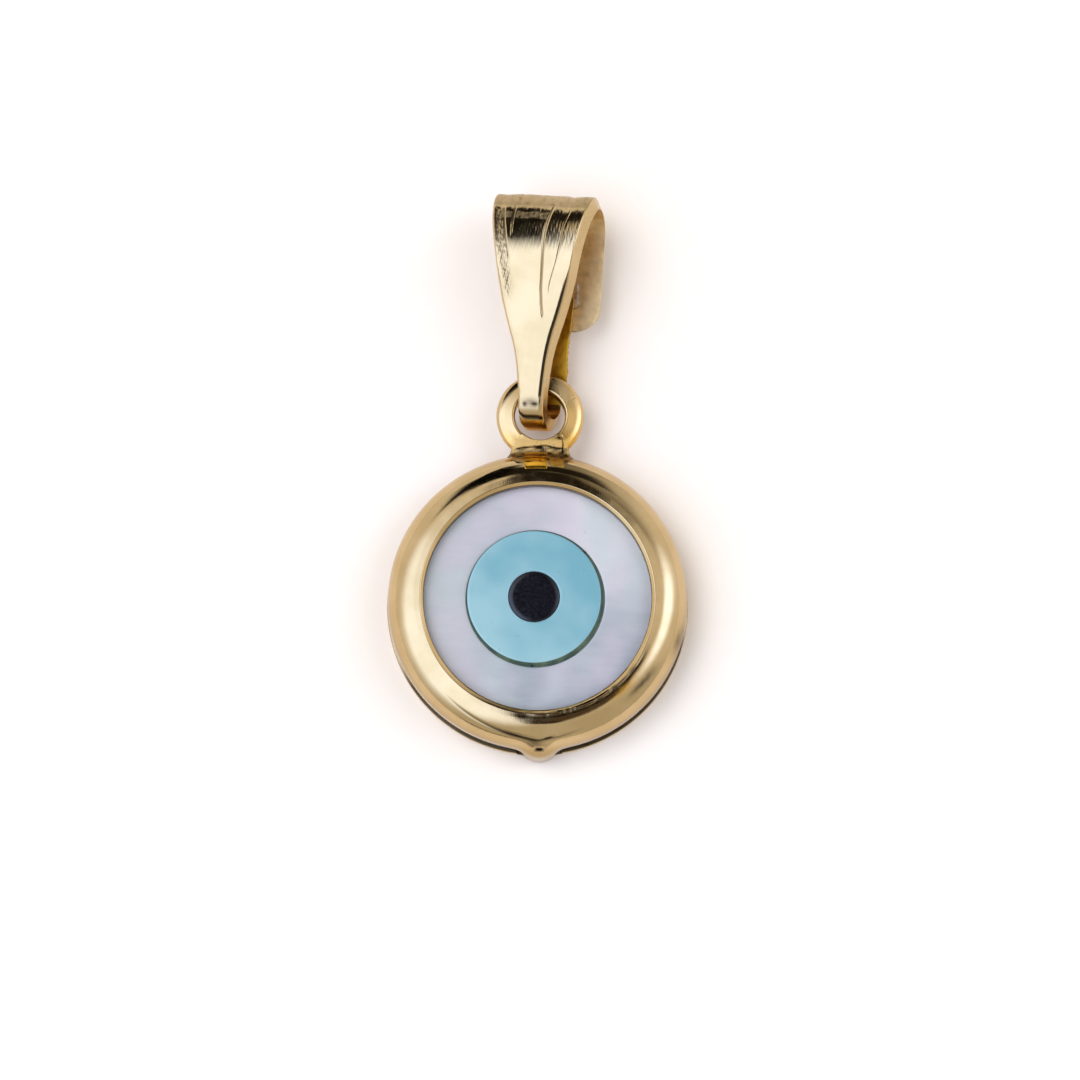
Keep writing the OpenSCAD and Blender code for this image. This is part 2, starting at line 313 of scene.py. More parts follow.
def gold(name, light, deep, low_rough, matte_rough):
    """Polished gold with fine scratches. The fields matte, dirt, warm and pale dull it,
    fill it with grime and painted shade, deepen it to orange as painted bounced light and whiten it with
    solder."""
    material, g, where = blank_material(name)
    matte, dirt_and_shade, warm, pale = (
        g.add("ShaderNodeAttribute", attribute_name=key).outputs["Fac"]
        for key in ("matte", "dirt_and_shade", "warm", "pale")
    )
    colour = g.mix(g.step(g.noise(where, 1.6, 3.0), 0.3, 0.7), deep, light)
    for share, tone in ((warm, WARM_TONE), (pale, PALE_TONE), (dirt_and_shade, DIRT_AND_SHADE_TONE)):
        colour = g.mix(share, colour, tone)
    smear = g.noise(where, 0.5, 5.0)
    rough = g.step(smear, 0.3, 0.75, low_rough, low_rough + 0.07)
    dull = g.step(smear, 0.3, 0.7, matte_rough - 0.08, matte_rough + 0.08)
    share = g.math("MAXIMUM", matte, g.times(dirt_and_shade, 0.8))
    rough = g.add("ShaderNodeMix", {0: share, 2: rough, 3: dull}, data_type="FLOAT").outputs[0]
    lines = g.noise(where, 0.035, 2.0, 0.5, (1, 30, 1))
    cross = g.noise(where, 0.03, 2.0, 0.5, (22, 1, 1), (0, 0, 0.5))
    pits = g.noise(where, 0.05, 5.0, 0.65)
    fine = g.math("ADD", g.times(lines, 0.5), g.times(cross, 0.35))
    height = g.math("ADD", fine, g.times(pits, matte, 3.0))
    normal = g.bump(height, g.math("ADD", 0.035, g.times(matte, 0.34)), SCRATCH_DEPTH)
    g.surface({"Base Color": colour, "Roughness": rough, "Normal": normal, "Metallic": 1.0})
    return material


def nacre():
    """Mother-of-pearl: soft grey-blue, with a painted reflection that makes it paler and lilac
    towards the upper right and greyer at the left, faint brushed streaks and drifting clouds under a polished
    face."""
    material, g, where = blank_material("mother_of_pearl")
    place = g.parts(where)
    cloud = g.noise(where, 3.0, 1.5, 0.4, (1.3, 1, 1), (0, 0, 0.6))
    veil = g.noise(where, 0.9, 2.0, 0.5, (2.5, 1, 1), (0, 0, -0.7))
    # The slant paints a reflection, paler towards the upper right
    slant = g.math("ADD", g.times(place[0], 75.0), g.times(place[1], 95.0))
    share = g.math("ADD", slant, g.math("ADD", g.times(cloud, 1.1), g.times(veil, 0.35)))
    colour = g.mix(g.step(share, 0.42, 1.5), (0.33, 0.345, 0.345), (0.67, 0.61, 0.57))
    rosy = g.noise(where, 1.7, 1.5, 0.4, (1, 1.4, 1))
    green = g.noise(where, 2.4, 2.0, 0.5, (1, 1.6, 1), (0, 0, 0.9))
    streak = g.noise(where, 0.3, 4.0, 0.7, (4, 1, 1), (0, 0, 0.2))
    speck = g.noise(where, 0.2, 2.0, 0.5)
    # What varies, where it starts and is full, its largest share, and its tone
    for value, start, full, most, tone in (
        # This row greys the left side as part of the painted reflection
        (place[0], 0.5 * MM, -4.0 * MM, 0.75, (0.53, 0.52, 0.47)),
        (rosy, 0.42, 0.7, 0.5, (0.58, 0.48, 0.50)),
        (green, 0.5, 0.72, 0.5, (0.47, 0.53, 0.47)),
        (streak, 0.35, 0.7, 0.1, (0.68, 0.67, 0.63)),
        (speck, 0.68, 0.8, 0.25, (0.3, 0.3, 0.28)),
    ):
        colour = g.mix(g.step(value, start, full, 0.0, most), colour, tone)
    g.surface({
        "Base Color": colour, "Roughness": g.step(streak, 0.3, 0.7, 0.2, 0.26),
        "Normal": g.bump(streak, 0.05, 0.03), "IOR": 1.53,
        "Coat Weight": 0.3, "Coat Roughness": 0.08, "Sheen Weight": 0.1,
    })
    return material


def stone(name, light, deep, size, rough, speck=None, drift=(0, 0)):
    """Polished stone, mottled between two tones, with a drift that paints a lighter reflection on one side,
    and a few specks.
    """
    material, g, where = blank_material(name)
    cloud = g.noise(where, size, 2.0, 0.45)
    # Painted reflection: the tones shift towards the lighter one across the stone
    if any(drift):
        for place, slope in zip(g.parts(where), drift):
            cloud = g.math("ADD", cloud, g.times(place, slope / MM))
    colour = g.mix(g.step(cloud, 0.2, 0.8), deep, light)
    if speck:
        colour = g.mix(g.step(g.noise(where, 0.16, 2.0, 0.4), 0.72, 0.8, 0.0, 0.55), colour, speck)
    grain = g.noise(where, 0.12, 4.0)
    g.surface({
        "Base Color": colour, "Roughness": g.step(grain, 0.3, 0.7, rough, rough + 0.08),
        "Normal": g.bump(grain, 0.04, 0.02), "IOR": 1.5,
    })
    return material


bezel_gold = gold("bezel_gold", GOLD_LIGHT, GOLD_DEEP, 0.045, 0.42)
bail_gold = gold("bail_gold", GOLD_LIGHT, GOLD_DEEP, 0.08, 0.5)
back_gold = gold("back_gold", GOLD_LIGHT, GOLD_DEEP, 0.14, 0.36)
solder_metal = gold("solder_metal", (0.52, 0.38, 0.24), (0.36, 0.25, 0.15), 0.4, 0.6)
pearl_nacre = nacre()
# The turquoise's drift paints a brighter reflection towards the lower left
turquoise = stone(
    "turquoise", (0.30, 0.485, 0.48), (0.17, 0.365, 0.39), 2.2, 0.16, (0.1, 0.24, 0.26), (-0.09, -0.06)
)
# Dark olive for the glue line round the iris and for its side, where it also paints the shadow at the lower
# right
olive_glue_and_shade = stone("olive_glue_and_shade", (0.10, 0.14, 0.08), (0.03, 0.06, 0.045), 0.5, 0.3)
black_stone = stone("black_stone", (0.006, 0.005, 0.008), (0.004, 0.004, 0.006), 0.8, 0.1)


# Bezel

# Its section from the axis outwards: the opening, the lip's ridge, the crown, and the
# puffed shoulder, a quarter of an ellipse that ends on the upright wall
FACE_R, RIDGE_R, CROWN_R, BEZEL_R = 4.51, 4.66, 4.74, 5.94
LOW_Z, WALL_Z, PUFF_Z, CROWN_Z = 0.65, 1.42, 2.527, 2.55
SHEET, SKIRT_Z, HEM_R = 0.28, 2.045, 0.09
BEAK_X, BEAK_OUT, BEAK_ANGLES = 0.08, 0.355, (256, 284)
# Share of the beak's reach outwards and downwards, by the distance from its middle
BEAK_PUSH = [[0, 1], [0.2, 0.93], [0.4, 0.76], [0.56, 0.52], [0.72, 0.24], [0.9, 0.07], [1.2, 0]]
BEAK_DROP = [[0, 1], [0.3, 0.97], [0.46, 0.86], [0.58, 0.6], [0.72, 0.24], [0.9, 0.06], [1.15, 0]]
# Radius of the crease on the shoulder. Places round the bezel are in degrees from the
# beak, above 0 at its right
CREASE = [[-44, 5.3], [-35, 5.37], [-20, 5.47], [-8, 5.57], [0, 5.67], [8, 5.6], [16, 5.54], [24, 5.5]]
# Nicks in the lip: place, half width in degrees, depth
NICKS = (
    (-5, 3.0, 0.5), (4, 1.2, 0.3), (12, 1.4, 0.5), (17, 0.9, 1.0),
    (21, 0.7, 0.7), (30, 1.6, 0.5), (39, 1.1, 0.6), (51, 2.2, 0.4),
)
# The height that the photograph shows is this share of y and of z
SEEN_Y, SEEN_Z = 0.9816, 0.1908
# Marks: x, seen height, slant in degrees, half length, half width, strength
DENT = (0.065, -5.53, 0, 0.16, 0.07, 1)
BROWN = (3.34, -3.16, 43, 0.45, 0.12, 1)
# Beside the beak: a patch of painted shade and a painted dark reflection line
BESIDE_BEAK = ((-0.1, -5.31, -10, 0.34, 0.13, 0.5), (0.436, -5.06, 14, 0.2, 0.035, 0.85))
SMUDGES = (
    (4.02, -3.02, 47, 0.5, 0.1, 0.8), (4.45, -2.55, 52, 0.45, 0.15, 0.4), (5.58, -1.26, 71, 0.55, 0.16, 0.62),
)


def bezel_loop():
    """The closed section, and 1 for each outer point, 0 for each point inside the sheet."""
    shoulder = (CROWN_R, WALL_Z)
    outer = [[FACE_R + 0.02, SKIRT_Z]] + [[FACE_R, z] for z in (2.07, 2.25, 2.4)] + [[FACE_R + 0.006, 2.43]]
    outer += np.linspace([FACE_R + 0.016, 2.45], [RIDGE_R - 0.025, 2.53], 8).tolist()
    outer += [[RIDGE_R - 0.012, 2.5385], [RIDGE_R, 2.541], [RIDGE_R + 0.012, 2.5405]]
    outer += np.linspace([RIDGE_R + 0.03, 2.5385], [CROWN_R + 0.115, 2.522], 8).tolist()
    outer += arc(shoulder, BEZEL_R - CROWN_R, PUFF_Z - WALL_Z, 84, 2, 88)
    outer += [[BEZEL_R, z] for z in np.linspace(WALL_Z, LOW_Z + 0.1, 20)]
    outer += arc((BEZEL_R - HEM_R, LOW_Z + HEM_R), HEM_R, HEM_R, 0, -80, 7)
    inner = [[BEZEL_R - SHEET + 0.03, LOW_Z + 0.01]]
    inner += [[BEZEL_R - SHEET, z] for z in np.linspace(LOW_Z + 0.06, WALL_Z, 10)]
    inner += arc(shoulder, BEZEL_R - CROWN_R - SHEET, CROWN_Z - WALL_Z - SHEET, 4, 84, 14)
    inner += [[FACE_R + SHEET, SKIRT_Z + 0.125], [FACE_R + SHEET, SKIRT_Z]]
    return np.array(outer + inner), np.array([1] * len(outer) + [0] * len(inner))


def bezel_angles():
    """Angles round the bezel, closer together at the beak."""
    first, last = BEAK_ANGLES
    wide = np.linspace(last - 360, first, 300, endpoint=False)
    return np.radians(np.concatenate([wide, np.linspace(first, last, 130, endpoint=False)]))


def beak_and_seam(r, z, outside, clock):
    """The section's radius and height with the beak pushed out and the wall drawn in to the
    seam elsewhere, then the share of the seam's shade and of the beak."""
    away = np.where(np.abs(clock) < 40, np.abs(BEZEL_R * np.sin(np.radians(clock)) - BEAK_X), 9)
    push, drop = eased(BEAK_PUSH, away, 0.1), eased(BEAK_DROP, away, 0.06)
    low = np.clip((WALL_Z - z) / (WALL_Z - LOW_Z), 0, 1)
    seam = ramp(1.2, 0.9, z) * (1 - np.clip(drop * 1.4, 0, 1)) * outside
    r = r + BEAK_OUT * push * (ramp(2.25, 1.15, z) - 0.1 * low * drop)
    z = z - low * drop * (LOW_Z - 0.05)
    foot = (z < 0.62) & (drop > 0.02)
    r = np.where(foot, np.maximum(r, np.where(outside == 1, 6.1, 6.05)), r)
    return r - 0.12 * seam, z, seam * span(clock, -70, -56, 72, 84), push


def worn_lip(r, z, r0, outside, clock):
    """Radius and height with the lip pushed down unevenly, and the shares of wear and nicks."""
    worn = outside * span(clock, -16, 0, 50, 70)
    nick = outside * sum(depth * bell(clock, place, width) for place, width, depth in NICKS)
    low_lip = outside * span(clock, -80, -45, 45, 80)
    r = r + 0.05 * low_lip * ramp(4.52, RIDGE_R, r0) * ramp(5.0, RIDGE_R, r0)
    z = z - 0.03 * low_lip * ramp(4.6, 4.52, r0) * ramp(2.3, 2.36, z)
    r = r + bell(r0, RIDGE_R, 0.07) * (0.012 * worn * np.sin(0.23 * clock + 1) - 0.04 * nick)
    z = z - bell(r0, RIDGE_R + 0.05, 0.05) * 0.02 * nick - worn * bell(r0, RIDGE_R + 0.12, 0.06) * 0.008
    return r, z, worn, nick


def patch(seen, mark, power=2):
    """Strength of an oval mark at places seen as [x, height]."""
    x, y, slant, long, wide, strength = mark
    u, v = turned(seen[0] - x, seen[1] - y, -math.radians(slant))
    return strength * np.exp(-(np.abs(u / long) ** power + np.abs(v / wide) ** power))


def make_bezel():
    section, outside = bezel_loop()
    p = turned_section(section, bezel_angles())
    outside = np.broadcast_to(outside, p.shape[:2])
    a = np.arctan2(p[..., 1], p[..., 0])
    clock = (np.degrees(a) + 90 + 180) % 360 - 180
    r0, z0 = np.hypot(p[..., 0], p[..., 1]), p[..., 2]
    r, z, seam, push = beak_and_seam(r0, z0, outside, clock)
    # The crease dents the shoulder, and its share is also added to the dark paint below as a painted dark
    # reflection line
    crease = span(clock, -48, -26, 8, 22) * outside * ramp(1.5, 1.6, z0) * (0.5 + 0.5 * bell(clock, -10, 13))
    crease *= bell(r0, eased(CREASE, clock, 3), 0.045 + 0.03 * bell(clock, -8, 8))
    swell = outside * ramp(2.4, 1.7, z0) * bell(clock, -14, 7) * bell(r0, 5.62, 0.12)
    r, z, worn, nick = worn_lip(r, z - 0.04 * crease + 0.012 * swell, r0, outside, clock)

    # Slight unevenness, and the dimple in the beak
    q = polar(r, a, z)
    wave = ripple(q, 5.0, 11) * 0.006 + ripple(q, 1.6, 12) * 0.0016 + ripple(q, 0.5, 13) * 0.0003
    q[..., 2] = np.minimum(q[..., 2] + wave * ramp(2.06, 2.4, z0) * outside, CROWN_Z)
    seen = q[..., 0], SEEN_Y * q[..., 1] + SEEN_Z * q[..., 2]
    # The dimple in the beak; it is also darkened below as painted shade
    dent = outside * patch(seen, DENT, 4) * (z > 0.9)
    q[..., 2] -= 0.06 * dent

    # Paint: grime and smudges, with painted shade, dark reflections and bounced light
    mottle = 0.88 + 0.15 * ripple(q, 0.25, 14)
    # The marks beside the beak are painted shade and a painted dark reflection; the smudges are grime
    marks = sum(patch(seen, m) for m in BESIDE_BEAK) + sum(patch(seen, m) for m in SMUDGES) * mottle
    brown = outside * patch(seen, BROWN)
    # The low front wall is darkened and warmed, partly as painted shade and bounced light, partly for its
    # browner, rougher metal
    low_wall = outside * ramp(1.95, 1.6, z0) * span(clock, -110, -70, 70, 110)
    # Dark lines at the lip: painted shade along the stone's edge and in the nicks, and a painted dark
    # reflection beside the worn stretch of the ridge
    line = 0.8 * outside * ramp(FACE_R + 0.03, FACE_R + 0.012, r0)
    line += 0.85 * nick * bell(r0, RIDGE_R + 0.01, 0.05)
    line += 0.55 * worn * bell(r0, RIDGE_R + 0.055, 0.025)
    # Painted shade darkens the seam under the wall, the crease, the dimple and the inside of the sheet
    dirt_and_shade = 0.95 * dent + 0.85 * (1 - outside) + seam + crease + outside * marks + 0.32 * brown + line
    dirt_and_shade += (0.24 + 0.08 * push) * low_wall
    # Painted bounced light: the warm share deepens the lip's inner face, the seam and the low wall to orange;
    # it also tints the brown patch
    warm = 0.1 * outside * ramp(RIDGE_R + 0.01, RIDGE_R - 0.02, r0)
    warm += 0.25 * seam + 0.75 * brown + 0.12 * low_wall
    matte = 0.06 + 0.25 * ramp(5.86, 5.95, np.hypot(q[..., 0], q[..., 1])) * ramp(1.3, 0.9, q[..., 2])
    return new_mesh(
        "bezel_shell", q, grid_faces(q, True, True)[:, ::-1], [bezel_gold],
        {"matte": matte, "dirt_and_shade": dirt_and_shade, "warm": warm},
    )


# Eyelet

EYELET_X, EYELET_Y, EYELET_Z = 0.1, 7.5, 1.42
EYELET_R, HOLE_R, EYELET_T = 1.74, 1.0, 0.68
# From the eyelet's middle down to the bezel's wall
FOOT_Y = EYELET_Y - BEZEL_R
TONGUE_LOW_R, RUN_R, SECOND_LOW_R = 5.2, 5.47, 5.32
CRACK_X, TOOL_X, TOOL_Y = 0.9, 0.76, -0.82


def foot_line(x, y):
    """How far y is above the line where the foot meets its solder, and the share of that line."""
    line = 6.13 + 0.13 * bell(x, 0.05, 0.8) + 0.015 * np.sin(7 * x)
    return y - line, bell(y, line, 0.025) * span(x, -1.05, -0.85, 0.8, 1.0)


def over_bezel(p):
    """Distance above the shoulder of the bezel, and the radius."""
    r = np.hypot(p[..., 0], p[..., 1])
    out = np.maximum(r - CROWN_R, 0) / (BEZEL_R - CROWN_R)
    up = np.maximum(p[..., 2] - WALL_Z, 0) / (PUFF_Z - WALL_Z)
    return (np.hypot(out, up) - 1) * 1.16, r


def tongue(x):
    return span(x, -0.54, -0.49, 0.36, 0.41)


def solder_run(x, r):
    """Where solder has run over the shoulder: a crescent with a square tongue in its middle
    and a shorter one at its right."""
    limit = RUN_R + 0.5 * ramp(0.9, 1.42, np.abs(x - 0.13)) + 0.03 * np.sin(5 * x)
    limit += (TONGUE_LOW_R - limit) * tongue(x) + (SECOND_LOW_R - limit) * span(x, 0.44, 0.5, 1.0, 1.1)
    return ramp(-0.025, 0.025, r - limit)


def eyelet_field(p):
    """Distance to the domed ring with its solder foot."""
    x, y, z = p[..., 0] - EYELET_X, p[..., 1] - EYELET_Y, p[..., 2] - EYELET_Z
    ring_r = np.hypot(x, y)
    middle, half = (EYELET_R + HOLE_R) / 2, (EYELET_R - HOLE_R) / 2
    level = np.abs(z) + 0.12 * (ring_r - HOLE_R) - EYELET_T / 2
    dome = level + 0.62 * np.maximum(ring_r - 1.4, 0) ** 2
    ring = rounded(np.stack([np.abs(ring_r - middle) - half, dome], -1), 0.12)
    wide = 1.19 - 0.1 * ramp(-FOOT_Y, -FOOT_Y + 0.4, y)
    foot = rounded(np.stack([np.abs(x) - wide, np.abs(y + FOOT_Y - 0.3) - 0.56, level], -1), 0.1)
    solid = np.minimum(ring, np.maximum(foot, HOLE_R - ring_r))
    # The fillet against the bezel's wall, which stays just under the wall elsewhere
    over, wall_r = over_bezel(p)
    run = solder_run(p[..., 0], wall_r) * ramp(1.5, 1.6, p[..., 2])
    solid = smooth_union(solid, over + 0.015 - 0.04 * run, 0.2)
    block = np.stack([np.abs(x) - 1.6, np.abs(y + FOOT_Y) - 1.6, z - 1.1, -0.5 - z], -1).max(-1)
    solid = np.maximum(solid, np.where(y < -FOOT_Y + 0.35, block, -1))
    solid = np.maximum(solid, -(over + 0.1))
    # Pits in the foot and in the worn upper right of the ring
    pitted = bell(y, 0.2 - FOOT_Y, 0.22) * ramp(1.2, 0.9, np.abs(x))
    solid += pitted * (0.004 * ripple(p, 0.3, 21) + 0.02 * np.maximum(ripple(p, 0.09, 22) - 1.1, 0))
    worn = bell(x, 1.05, 0.35) * bell(y, 0.95, 0.45)
    solid += worn * 0.03 * np.maximum(ripple(p, 0.16, 23) - 1.2, 0)
    # Crack at the right of the foot, the dark arc above the bezel and a tool mark
    crack = bell(x, CRACK_X + 0.03 * np.sin(9 * y), 0.022) * span(y, -1.6, -1.5, -0.95, -0.75)
    tool = bell(x, TOOL_X, 0.2) * bell(y + 0.12 * x, TOOL_Y, 0.06)
    return solid + (0.06 * crack + 0.03 * foot_line(x, p[..., 1])[1] + 0.03 * tool) * (z > 0)


def eyelet_paint(points):
    """Fields of the ring, its grey foot and the solder below it."""
    x, y = points[:, 0] - EYELET_X, points[:, 1]
    ring_r, wall_r = np.hypot(x, y - EYELET_Y), np.hypot(points[:, 0], y)
    foot = bell(y, 6.2, 0.26) * ramp(1.3, 1.0, np.abs(x))
    worn = ramp(0.3, 1.0, x) * ramp(7.4, 8.3, y)
    over_line, line = foot_line(x, y)
    crack = bell(x, CRACK_X, 0.03) * ramp(6.75, 6.2, y) * (y > 5.98)
    tool = bell(x, TOOL_X, 0.22) * bell(y - EYELET_Y + 0.12 * x, TOOL_Y, 0.07)
    tool *= 1 + 0.4 * ripple(points, 0.12, 27)
    pits = above(ripple(points, 0.09, 22), 1.1) * foot + 0.6 * above(ripple(points, 0.16, 23), 1.2) * worn
    # The crack and the arc line are darkened as painted shade; the tool mark and the pits are darkened too
    dirt_and_shade = np.clip(0.85 * crack + 0.85 * line + 0.8 * tool + pits, 0, 1) * (points[:, 2] > 1.5)
    # The solder below the line: a bright tongue with dark bars, a fainter one, and blotches
    below = ramp(0.02, -0.03, over_line) * ramp(1.6, 1.45, np.abs(x)) * (points[:, 2] > 1.45)
    middle = tongue(points[:, 0]) * below * ramp(6.02, 5.97, y)
    second = span(points[:, 0], 0.46, 0.52, 1.0, 1.08) * below * ramp(5.78, 5.68, wall_r)
    outline = bell(solder_run(points[:, 0], wall_r), 0.4, 0.3) * below
    bars = middle * (bell(wall_r, 5.67, 0.035) + 0.5 * bell(wall_r, 5.86, 0.04))
    blotch = 0.58 + 0.3 * ripple(points, 0.3, 25) + 0.15 * ripple(points, 0.1, 26)
    rest = below - middle
    dirt_and_shade += rest * blotch * (1 - 0.8 * second) + 0.8 * outline + 0.9 * bars
    # Painted shade on the inner edge of the hole
    dirt_and_shade += 0.6 * ramp(1.05, 1.0, ring_r)
    # The warm shares paint orange light bounced between gold parts onto the solder tongue, the solder and the
    # foot; the ring is warmed a little too, more at its right
    foot_zone = ramp(7.0, 6.5, y) * (1 - below)
    ring_warm = (0.08 + 0.2 * ramp(0.5, 1.3, x)) * (1 - below)
    warm = 0.9 * middle + 0.5 * rest + 0.4 * second + 0.35 * foot_zone + ring_warm
    pale = 0.12 * foot * (0.7 + 0.3 * ripple(points, 0.4, 24)) + 0.1 * worn + 0.15 * rest
    matte = np.clip(0.1 + 1.1 * foot + 0.6 * worn, 0, 1) + 0.35 * foot_zone + 0.5 * rest
    return {"matte": matte, "dirt_and_shade": dirt_and_shade, "warm": warm, "pale": pale}


def make_eyelet():
    points, quads = isosurface(eyelet_field, (-1.8, 4.9, 0.88), (2.0, 9.35, 2.6), 0.027)
    return new_mesh("bezel_eyelet", points, quads, [bezel_gold], eyelet_paint(points))


# Back plate

def make_back_plate():
    """A shallow dish whose rim shows under the bezel, with a collar that stands inside it."""
    profile = [[0.0, 0.0]] + [[r, 0.0] for r in np.linspace(0.4, 5.7, 34)[1:]]
    profile += arc((5.695, 0.3), 0.298, 0.298, -84, 0, 12)
    profile += [[5.993, 0.36], [5.987, 0.41], [5.965, 0.44], [5.92, 0.45], [5.66, 0.45], [5.625, 0.47]]
    profile += [[5.62, z] for z in (0.6, 0.8, 0.93)] + [[5.6, 0.95], [5.4, 0.95], [5.37, 0.93]]
    profile += [[5.37, 0.6], [5.36, 0.32], [5.3, 0.3], [2.5, 0.3], [0.0, 0.3]]
    p = turned_section(profile, np.linspace(0, TURN, 320, endpoint=False))
    r = np.hypot(p[..., 0], p[..., 1])
    rim = ramp(0.2, 0.4, p[..., 2]) * ramp(5.8, 5.9, r)
    p[..., 2] += rim * (ripple(p, 3.0, 31) * 0.006 - 0.008)
    clock = np.degrees(np.arctan2(p[..., 0], -p[..., 1]))
    seam = 0.3 + 0.6 * span(clock, -70, -56, 72, 84)
    # Painted shade in the seam under the bezel's wall, darker across the front
    dirt_and_shade = ramp(5.985, 5.965, r) * (p[..., 2] > 0.4) * seam
    return new_mesh(
        "back_plate_dish", p, grid_faces(p, True, False), [back_gold],
        {"matte": np.full(r.shape, 0.3), "dirt_and_shade": dirt_and_shade},
    )


# Stones

PEARL_LOW, FACE_Z, IRIS_TOP = 0.34, 2.0, 2.13
IRIS_R, SIDE_R, POCKET_R = 2.665, 2.715, 2.74
# The iris leans a little, so its lower part is centred apart from its top
IRIS_AT, IRIS_LOW_AT, PUPIL_AT = (-0.14, 0.075), (-0.088, 0.012), (-0.145, 0.072)


def disc(name, section, centre, materials, count, lean=(0, 0), face_slots=None):
    """A turned stone round the centre, whose lower part may stand aside from its top by
    lean. Far out, as at the pearl's edge, it is round the pendant's axis."""
    r, z = np.array(section, float).T
    p = turned_section(section, np.linspace(0, TURN, count, endpoint=False))
    for axis in (0, 1):
        p[..., axis] += centre[axis] * ramp(4.6, 2.9, r) + lean[axis] * ramp(z.max(), z.max() - 0.13, z)
    slots = None if face_slots is None else np.tile(face_slots, count)
    return new_mesh(name, p, grid_faces(p, True, False), materials, None, slots)


def make_pearl():
    section = [[2.3, PEARL_LOW], [4.7, PEARL_LOW], [4.74, PEARL_LOW + 0.05]]
    section += [[4.75, z] for z in (0.8, 1.4, 1.9)] + [[4.745, 1.96], [4.72, 1.99]]
    section += [[r, FACE_Z] for r in np.linspace(4.66, POCKET_R + 0.07, 30)]
    section += [[POCKET_R + 0.03, 1.995], [POCKET_R + 0.005, 1.97], [POCKET_R, 1.5]]
    section += [[2.3, 1.38], [2.3, PEARL_LOW]]
    return disc("pearl_disc", section, IRIS_LOW_AT, [pearl_nacre], 256)


def make_iris():
    """The turquoise disc, with the pocket of the pupil and a side that stands out at the lower right,
    coloured as glue and painted shadow.
    """
    pocket = [[0.0, 1.74], [1.0, 1.74], [1.025, 1.76], [1.025, IRIS_TOP - 0.02], [1.032, IRIS_TOP]]
    top = [[r, IRIS_TOP] for r in np.linspace(1.1, IRIS_R - 0.08, 26)]
    edge = [[IRIS_R - 0.045, IRIS_TOP - 0.004], [IRIS_R - 0.02, IRIS_TOP - 0.014]]
    side = [[IRIS_R, IRIS_TOP - 0.032], [2.68, 2.07], [2.7, 2.03], [2.71, 2.0], [SIDE_R, 1.95]]
    side += [[SIDE_R, 1.43], [0.0, 1.43]]
    section = pocket + top + edge + side
    slots = [0] * (len(section) - len(side) - 1) + [1] * len(side)
    lean = [low - high for low, high in zip(IRIS_LOW_AT, IRIS_AT)]
    return disc("iris_disc", section[::-1], IRIS_AT, [turquoise, olive_glue_and_shade], 256, lean, slots[::-1])


def make_glue():
    section = [[SIDE_R + 0.003, 1.9], [POCKET_R + 0.01, 1.9], [POCKET_R + 0.02, 1.99]]
    section += arc((2.73, 1.995), 0.03, 0.016, 20, 160, 6) + [[SIDE_R + 0.003, 1.985]]
    return disc("iris_glue", section, IRIS_LOW_AT, [olive_glue_and_shade], 256)


def make_pupil():
    section = [[0.0, 1.78], [0.97, 1.78], [1.005, 1.82], [1.01, 2.08], [1.005, 2.11]]
    section += [[0.99, 2.128], [0.96, 2.136]] + [[r, 2.138] for r in (0.8, 0.5, 0.2, 0.0)]
    return disc("pupil_disc", section, PUPIL_AT, [black_stone], 160)


# Small voids at the edge of the iris and specks in its face: x, y, radius
PITS = (
    (1.85, 1.87, 0.058), (-0.22, -2.70, 0.045), (1.84, 1.10, 0.02), (-1.7, -0.33, 0.014),
    (-0.55, 1.95, 0.016), (-2.2, -0.95, 0.014), (1.2, 0.55, 0.012),
)


def make_pits():
    """Each void or speck is an uneven flattened ball that just breaks the face."""
    points, faces = [], []
    rng = np.random.default_rng(9)
    rows, columns = 7, 14
    down = math.pi * (np.arange(rows)[:, None] + 0.02) / (rows - 1 + 0.04)
    around = TURN * np.arange(columns) / columns
    for k, (x, y, size) in enumerate(PITS):
        r = size * (1 + 0.2 * rng.uniform(-1, 1, (rows, columns))) * np.sin(down)
        sunk = IRIS_TOP - 0.02 - 0.3 * size + (0.017 if size < 0.03 else 0)
        points.append(polar(r, around, sunk + 0.6 * size * np.cos(down)) + (x, y, 0))
        faces.append(grid_faces(points[k], False, True) + k * rows * columns)
    return new_mesh("iris_pits", np.concatenate(points), np.concatenate(faces), [black_stone])


# Bail

# In its own frame the bail stands upright: x sideways, h up from its lowest point and
# depth towards the viewer. The strip runs from the wing's end over the top, down the
# front, round the foot and up to the tail's end
WING, BACK_BEND, TOP_BEND, LEG, FOOT_BEND, TAIL = range(6)
BAIL_L, STRIP, FOOT_R, FOOT_C, TOP_R = 9.45, 0.5, 0.95, 1.2, 1.45
LEG_FOOT, LEG_TOP, LEAN_ANGLE, BEND_H = 1.1275, 7.639, math.radians(4.38), 6.6
TOP_H = BAIL_L - STRIP / 2
FOOT_W, TOP_W, TOP_SHIFT = 1.2, 4.34, 0.05
WING_W, WING_H, WING_CORNER, WING_SHIFT = 3.8, 4.1, 0.9, 0.3
TAIL_W, TAIL_H, TAIL_CORNER, TAIL_SHIFT = 1.5, 5.5, 0.3, 0.5
TUCK, TUCK_H, BACK_SHIFT = 0.54, WING_H - 0.3, 0.27
# How it lies in the eyelet
HANG, WIRE_Y, REST_Z = 1.9, 8.87, 1.39177
ROLL, PITCH, YAW = math.radians(12.5), math.radians(10), math.radians(3)
# Share of the front's widening by height, and of the tail's shift along it
TAPER = [
    [0, 0], [0.14, 0], [0.21, 0.04], [0.29, 0.1], [0.36, 0.19], [0.45, 0.36],
    [0.54, 0.51], [0.64, 0.64], [0.76, 0.76], [0.88, 0.89], [0.95, 0.97], [1, 1],
]
LEAN = [[0, 0], [0.12, 0.3], [0.3, 0.7], [0.6, 0.8], [1, 1]]
SIDE_POINTS, FACE_POINTS, INNER_POINTS = 13, 168, 26
